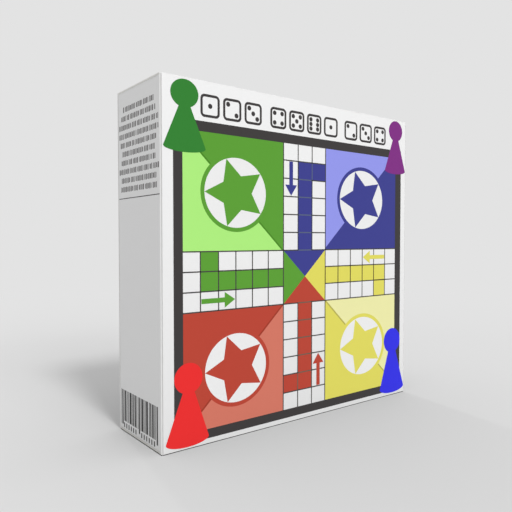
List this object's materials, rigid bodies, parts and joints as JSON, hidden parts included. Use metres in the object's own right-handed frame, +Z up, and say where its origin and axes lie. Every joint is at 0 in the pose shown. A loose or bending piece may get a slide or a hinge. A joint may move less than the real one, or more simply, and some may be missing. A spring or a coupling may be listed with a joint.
{
  "type": "board game box",
  "caption": "Upright tuck-top card box for a folded ludo board, with a hinged lid, tuck and dust flaps, and a card stand of pawns and dice inside.",
  "frame": {"origin": "middle of the box's base, on the surface it stands on", "axes": "+X to the right across the front, +Y from the front to the back, +Z up"},
  "size_m": [0.222, 0.059, 0.22],
  "materials": {
    "carton_card": "satin coated print on white card",
    "stand_card": "uncoated matt",
    "board_cover": "matt paper over greyboard",
    "cloth_tape": "woven book cloth",
    "leaflet_paper": "uncoated matt",
    "pawn_green_plastic": "gloss",
    "pawn_blue_plastic": "gloss",
    "pawn_red_plastic": "gloss",
    "pawn_yellow_plastic": "gloss",
    "die_plastic": "gloss"
  },
  "bodies": {
    "carton": {"front_panel": "carton_card", "back_panel": "carton_card", "left_side_panel": "carton_card", "right_side_panel": "carton_card", "glue_flap": "carton_card", "bottom_outer_flap": "carton_card", "bottom_inner_flap": "carton_card", "bottom_dust_flap_left": "carton_card", "bottom_dust_flap_right": "carton_card", "insert_deck": "stand_card", "insert_front_wall": "stand_card", "insert_rear_wall": "stand_card", "insert_shelf": "stand_card", "shelf_front_wall": "stand_card", "shelf_rear_wall": "stand_card", "board_leaf_1": "board_cover", "board_leaf_2": "board_cover", "board_leaf_3": "board_cover", "board_leaf_4": "board_cover", "board_tape_1": "cloth_tape", "board_tape_2": "cloth_tape", "board_tape_3": "cloth_tape", "rules_leaflet": "leaflet_paper", "pawn_green_1": "pawn_green_plastic", "pawn_green_2": "pawn_green_plastic", "pawn_green_3": "pawn_green_plastic", "pawn_green_4": "pawn_green_plastic", "pawn_blue_1": "pawn_blue_plastic", "pawn_blue_2": "pawn_blue_plastic", "pawn_blue_3": "pawn_blue_plastic", "pawn_blue_4": "pawn_blue_plastic", "pawn_red_1": "pawn_red_plastic", "pawn_red_2": "pawn_red_plastic", "pawn_red_3": "pawn_red_plastic", "pawn_red_4": "pawn_red_plastic", "pawn_yellow_1": "pawn_yellow_plastic", "pawn_yellow_2": "pawn_yellow_plastic", "pawn_yellow_3": "pawn_yellow_plastic", "pawn_yellow_4": "pawn_yellow_plastic", "die_1": "die_plastic", "die_2": "die_plastic"},
    "lid": {"lid_panel": "carton_card"},
    "tuck": {"tuck_flap": "carton_card"},
    "dust_flap_left": {"top_dust_flap_left": "carton_card"},
    "dust_flap_right": {"top_dust_flap_right": "carton_card"}
  },
  "joints": [
    {"name": "lid_hinge", "type": "hinge", "parent": "carton", "child": "lid", "pos_m": [0, 0.0291, 0.2196], "axis": [-1, 0, 0], "range_deg": [0, 180]},
    {"name": "tuck_fold", "type": "hinge", "parent": "lid", "child": "tuck", "pos_m": [0, -0.028, 0.2196], "axis": [-1, 0, 0], "range_deg": [0, 45]},
    {"name": "dust_fold_left", "type": "hinge", "parent": "carton", "child": "dust_flap_left", "pos_m": [-0.1106, 0, 0.2185], "axis": [0, -1, 0], "range_deg": [0, 108]},
    {"name": "dust_fold_right", "type": "hinge", "parent": "carton", "child": "dust_flap_right", "pos_m": [0.1106, 0, 0.2185], "axis": [0, 1, 0], "range_deg": [0, 108]}
  ],
  "couplings": [
    {"joint": "tuck_fold", "follows": "lid_hinge", "ratio": 0.25},
    {"joint": "dust_fold_left", "follows": "lid_hinge", "ratio": 0.6},
    {"joint": "dust_fold_right", "follows": "lid_hinge", "ratio": 0.6}
  ]
}
